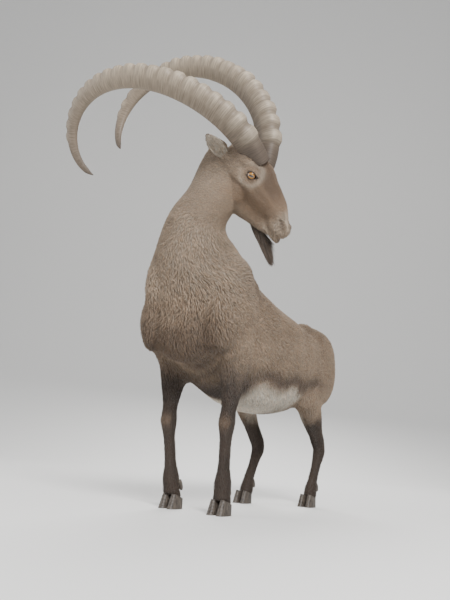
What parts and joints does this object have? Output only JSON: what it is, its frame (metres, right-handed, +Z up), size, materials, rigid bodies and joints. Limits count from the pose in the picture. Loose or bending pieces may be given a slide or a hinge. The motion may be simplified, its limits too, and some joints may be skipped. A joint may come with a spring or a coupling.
{
  "type": "alpine ibex model",
  "caption": "Life-size male alpine ibex standing on four hooves, its head turned over one shoulder, with long ridged horns that curve back.",
  "frame": {"origin": "on the floor, below the middle of the bounding box", "axes": "+Z up, -Y the way the body faces, +X to the left side of the animal"},
  "size_m": [0.7758, 1.3692, 1.6065],
  "materials": {
    "coat": "matte fur",
    "dark_coat": "matte dark fur",
    "horn": "rough horn",
    "hoof": "smooth dark horn",
    "eye": "wet gloss"
  },
  "bodies": {
    "root": {"beard": "dark_coat", "dewclaw_fore_left_inner": "hoof", "dewclaw_fore_left_outer": "hoof", "dewclaw_fore_right_inner": "hoof", "dewclaw_fore_right_outer": "hoof", "dewclaw_hind_left_inner": "hoof", "dewclaw_hind_left_outer": "hoof", "dewclaw_hind_right_inner": "hoof", "dewclaw_hind_right_outer": "hoof", "ear_left": "coat", "ear_right": "coat", "eye_left": "eye", "eye_right": "eye", "foreleg_lower_left": "dark_coat", "foreleg_lower_right": "dark_coat", "foreleg_upper_left": "coat", "foreleg_upper_right": "coat", "head": "coat", "hindleg_lower_left": "dark_coat", "hindleg_lower_right": "dark_coat", "hindleg_upper_left": "coat", "hindleg_upper_right": "coat", "hoof_fore_left_inner": "hoof", "hoof_fore_left_outer": "hoof", "hoof_fore_right_inner": "hoof", "hoof_fore_right_outer": "hoof", "hoof_hind_left_inner": "hoof", "hoof_hind_left_outer": "hoof", "hoof_hind_right_inner": "hoof", "hoof_hind_right_outer": "hoof", "horn_left": "horn", "horn_right": "horn", "neck": "coat", "tail": "coat", "torso": "coat"}
  },
  "joints": []
}
